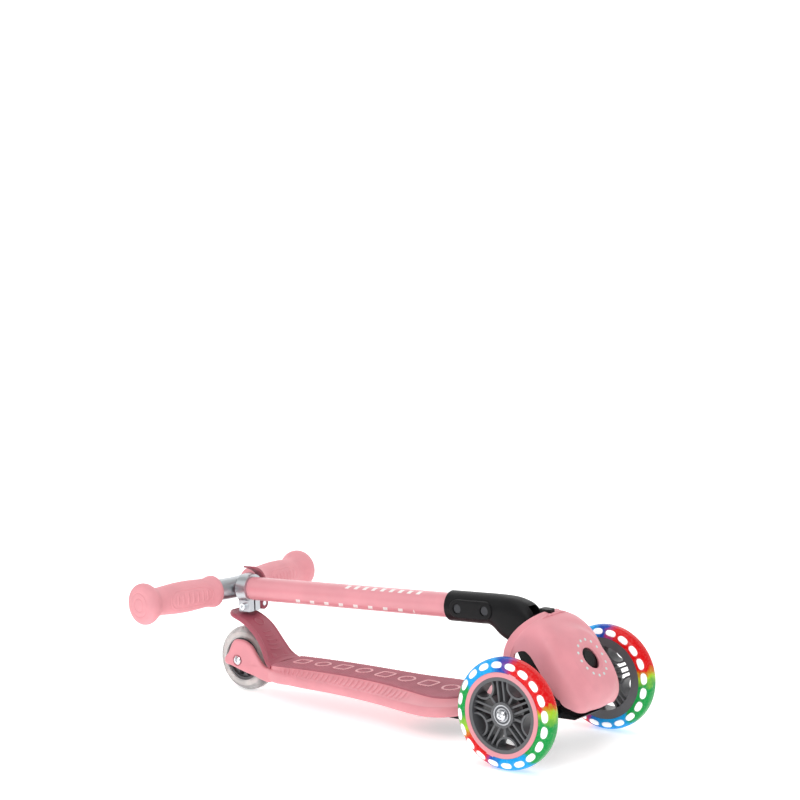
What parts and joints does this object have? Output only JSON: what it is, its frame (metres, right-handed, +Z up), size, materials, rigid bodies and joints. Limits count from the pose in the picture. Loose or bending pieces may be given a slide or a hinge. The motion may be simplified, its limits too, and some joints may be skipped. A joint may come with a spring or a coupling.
{
  "type": "kick scooter",
  "caption": "Child's folding three-wheeled kick scooter, drawn folded, with a lean-to-steer front axle, a height-adjustable bar and a rear foot brake.",
  "frame": {"origin": "on the floor, under the middle of the bounding box of the folded scooter", "axes": "+X forward, +Y to the rider's left, +Z up"},
  "size_m": [0.5778, 0.3068, 0.1645],
  "materials": {
    "pink_plastic": "satin moulded polypropylene, dusty pink",
    "rose_plastic": "satin moulded nylon, dark rose",
    "mat_rubber": "dark rose grip rubber with a fine woven texture",
    "pink_paint": "satin powder coat, dusty pink",
    "grip_rubber": "soft matt thermoplastic rubber, dusty pink",
    "black_nylon": "satin glass-filled nylon, black",
    "grey_nylon": "satin nylon, dark grey",
    "silver_alloy": "polished aluminium",
    "bright_steel": "bright plated steel",
    "dark_steel": "blackened steel",
    "spring_steel": "drawn spring wire",
    "clear_tyre": "clear cast polyurethane",
    "colour_tyre": "translucent cast polyurethane lit in several colours",
    "light_window": "bright white light windows"
  },
  "bodies": {
    "chassis": {"deck": "pink_plastic", "deck_mat": "mat_rubber", "front_frame": "black_nylon", "frame_screws": "dark_steel", "nose_cover": "pink_plastic", "cover_screws": "dark_steel", "lock_housing": "black_nylon", "lock_spring": "spring_steel", "fold_guide": "black_nylon", "fold_spring": "spring_steel", "kingpins": "dark_steel", "centring_springs": "spring_steel", "brake_pin": "dark_steel", "brake_spring": "spring_steel", "rear_axle": "bright_steel", "rear_axle_nut": "bright_steel", "rear_spacers": "bright_steel"},
    "brake": {"rear_brake": "rose_plastic", "brake_plate": "dark_steel", "brake_rivets": "bright_steel"},
    "rear_wheel": {"rear_tyre": "clear_tyre", "rear_core": "grey_nylon", "rear_bearings": "bright_steel"},
    "knuckle_right": {"knuckle_right": "black_nylon", "front_axle_right": "bright_steel", "magnet_core_right": "dark_steel"},
    "knuckle_left": {"knuckle_left": "black_nylon", "front_axle_left": "bright_steel", "magnet_core_left": "dark_steel"},
    "tie_rod": {"tie_rod": "dark_steel", "tie_rod_pins": "dark_steel"},
    "wheel_right": {"front_core_right": "grey_nylon", "front_tyre_right": "colour_tyre", "light_bars_right": "light_window", "trim_ring_right": "pink_plastic", "front_bearings_right": "bright_steel"},
    "wheel_left": {"front_core_left": "grey_nylon", "front_tyre_left": "colour_tyre", "light_bars_left": "light_window", "trim_ring_left": "pink_plastic", "front_bearings_left": "bright_steel"},
    "stem": {"stem_socket": "black_nylon", "fold_pin": "dark_steel", "socket_screws": "dark_steel", "socket_nuts": "dark_steel", "stem_tube": "pink_paint", "collar": "silver_alloy", "clamp_bolt": "bright_steel", "cam_washer": "bright_steel", "cam_pin": "bright_steel"},
    "lever": {"quick_release_lever": "rose_plastic"},
    "bar": {"inner_tube": "silver_alloy", "t_joint": "silver_alloy", "handlebar": "silver_alloy", "grip_left": "grip_rubber", "grip_right": "grip_rubber"},
    "lock_button": {"lock_button": "black_nylon"},
    "fold_button": {"fold_button": "black_nylon"}
  },
  "joints": [
    {"name": "brake_press", "type": "hinge", "parent": "chassis", "child": "brake", "pos_m": [-0.17461, 0, 0.04], "axis": [0, -1, 0], "range_deg": [0, 3], "stiffness_Nm_per_rad": 3, "springref_deg": -4.58},
    {"name": "rear_wheel_spin", "type": "hinge", "parent": "chassis", "child": "rear_wheel", "pos_m": [-0.22411, 0, 0.04], "axis": [0, 1, 0], "continuous": true},
    {"name": "steer", "type": "hinge", "parent": "chassis", "child": "knuckle_right", "pos_m": [0.22839, -0.068, 0.0605], "axis": [-0.342, 0, 0.9397], "range_deg": [-15, 15], "stiffness_Nm_per_rad": 6},
    {"name": "steer_left", "type": "hinge", "parent": "chassis", "child": "knuckle_left", "pos_m": [0.22839, 0.068, 0.0605], "axis": [-0.342, 0, 0.9397], "range_deg": [-15, 15], "stiffness_Nm_per_rad": 6},
    {"name": "link_swing", "type": "hinge", "parent": "knuckle_right", "child": "tie_rod", "pos_m": [0.25282, -0.068, 0.06939], "axis": [-0.342, 0, 0.9397], "range_deg": [-15, 15]},
    {"name": "wheel_right_spin", "type": "hinge", "parent": "knuckle_right", "child": "wheel_right", "pos_m": [0.22839, -0.104, 0.0605], "axis": [0, 1, 0], "continuous": true},
    {"name": "wheel_left_spin", "type": "hinge", "parent": "knuckle_left", "child": "wheel_left", "pos_m": [0.22839, 0.104, 0.0605], "axis": [0, 1, 0], "continuous": true},
    {"name": "fold", "type": "hinge", "parent": "chassis", "child": "stem", "pos_m": [0.17339, 0, 0.134], "axis": [0, 1, 0], "range_deg": [0, 84]},
    {"name": "bar_height", "type": "slide", "parent": "stem", "child": "bar", "axis": [-0.9988, 0, -0.05], "range_m": [0, 0.1]},
    {"name": "lever_open", "type": "hinge", "parent": "stem", "child": "lever", "pos_m": [-0.22304, 0.0199, 0.10566], "axis": [-0.9988, 0, -0.05], "range_deg": [0, 95]},
    {"name": "lock_press", "type": "slide", "parent": "chassis", "child": "lock_button", "axis": [-0.8746, 0, -0.4848], "range_m": [0, 0.003], "stiffness_N_per_m": 900, "springref_m": -0.002},
    {"name": "fold_press", "type": "slide", "parent": "chassis", "child": "fold_button", "axis": [0, 0, -1], "range_m": [0, 0.003], "stiffness_N_per_m": 900, "springref_m": -0.002}
  ],
  "couplings": [
    {"joint": "steer_left", "follows": "steer", "ratio": 1},
    {"joint": "link_swing", "follows": "steer", "ratio": -1}
  ]
}
